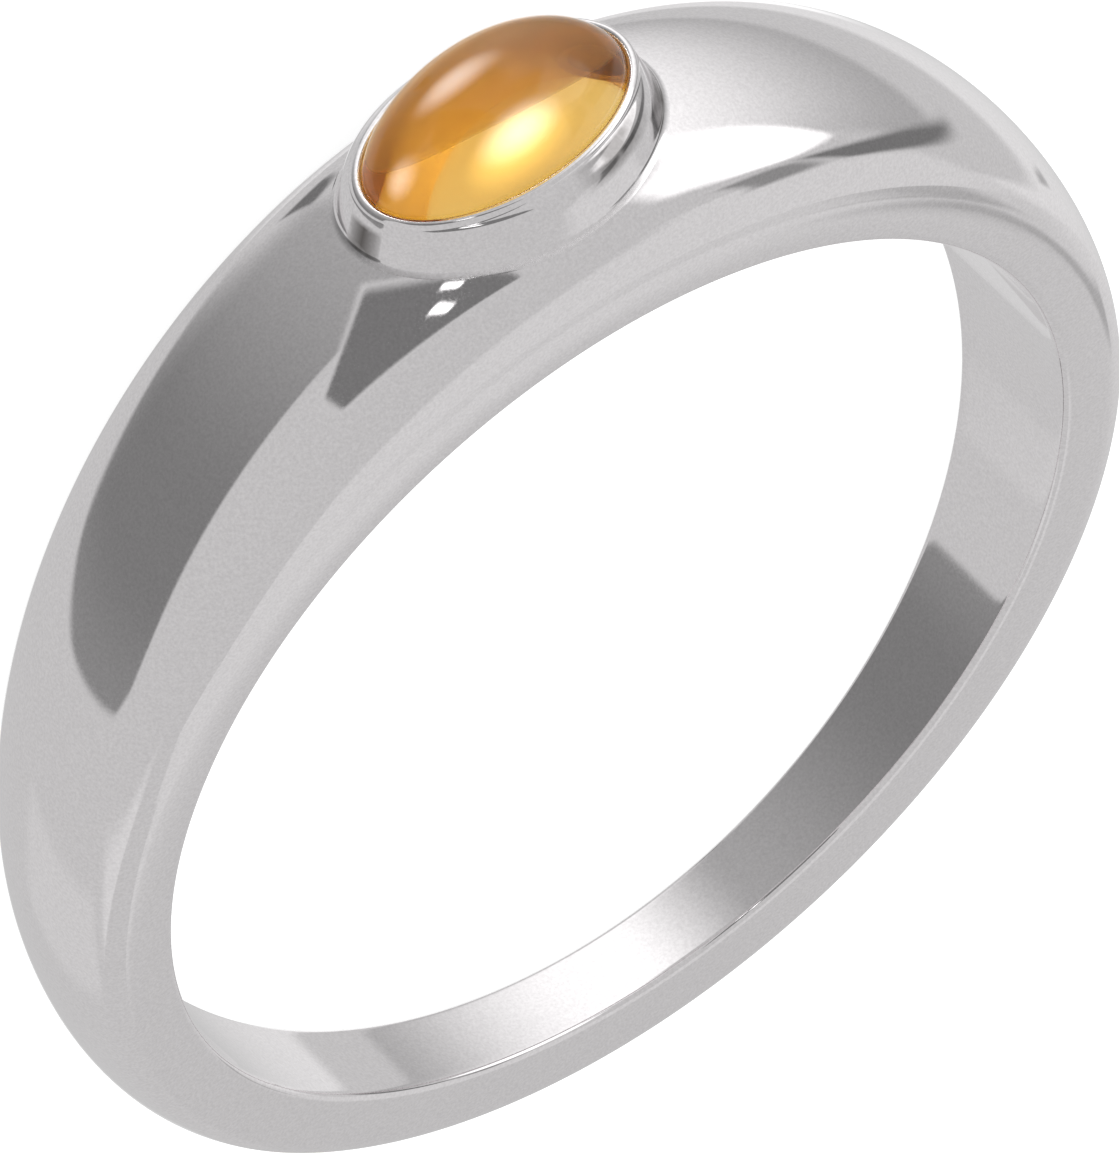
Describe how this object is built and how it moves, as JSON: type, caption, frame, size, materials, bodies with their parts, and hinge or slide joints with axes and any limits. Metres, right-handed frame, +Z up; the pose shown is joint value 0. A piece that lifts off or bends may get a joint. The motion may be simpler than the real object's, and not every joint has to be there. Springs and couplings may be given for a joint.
{
  "type": "cabochon ring",
  "caption": "Domed finger ring that tapers to a narrow back, with an oval cabochon in a closed bezel along the band.",
  "frame": {"origin": "where the bore's axis meets the surface that the ring lies on", "axes": "+Z up, nearly along the bore; -Y towards the stone; X across, along the stone's length"},
  "size_m": [0.0204, 0.0233, 0.0047],
  "materials": {
    "polished_silver": "mirror-polished sterling silver",
    "citrine": "polished, translucent golden-orange quartz"
  },
  "bodies": {
    "root": {"band": "polished_silver", "cabochon": "citrine"}
  },
  "joints": []
}
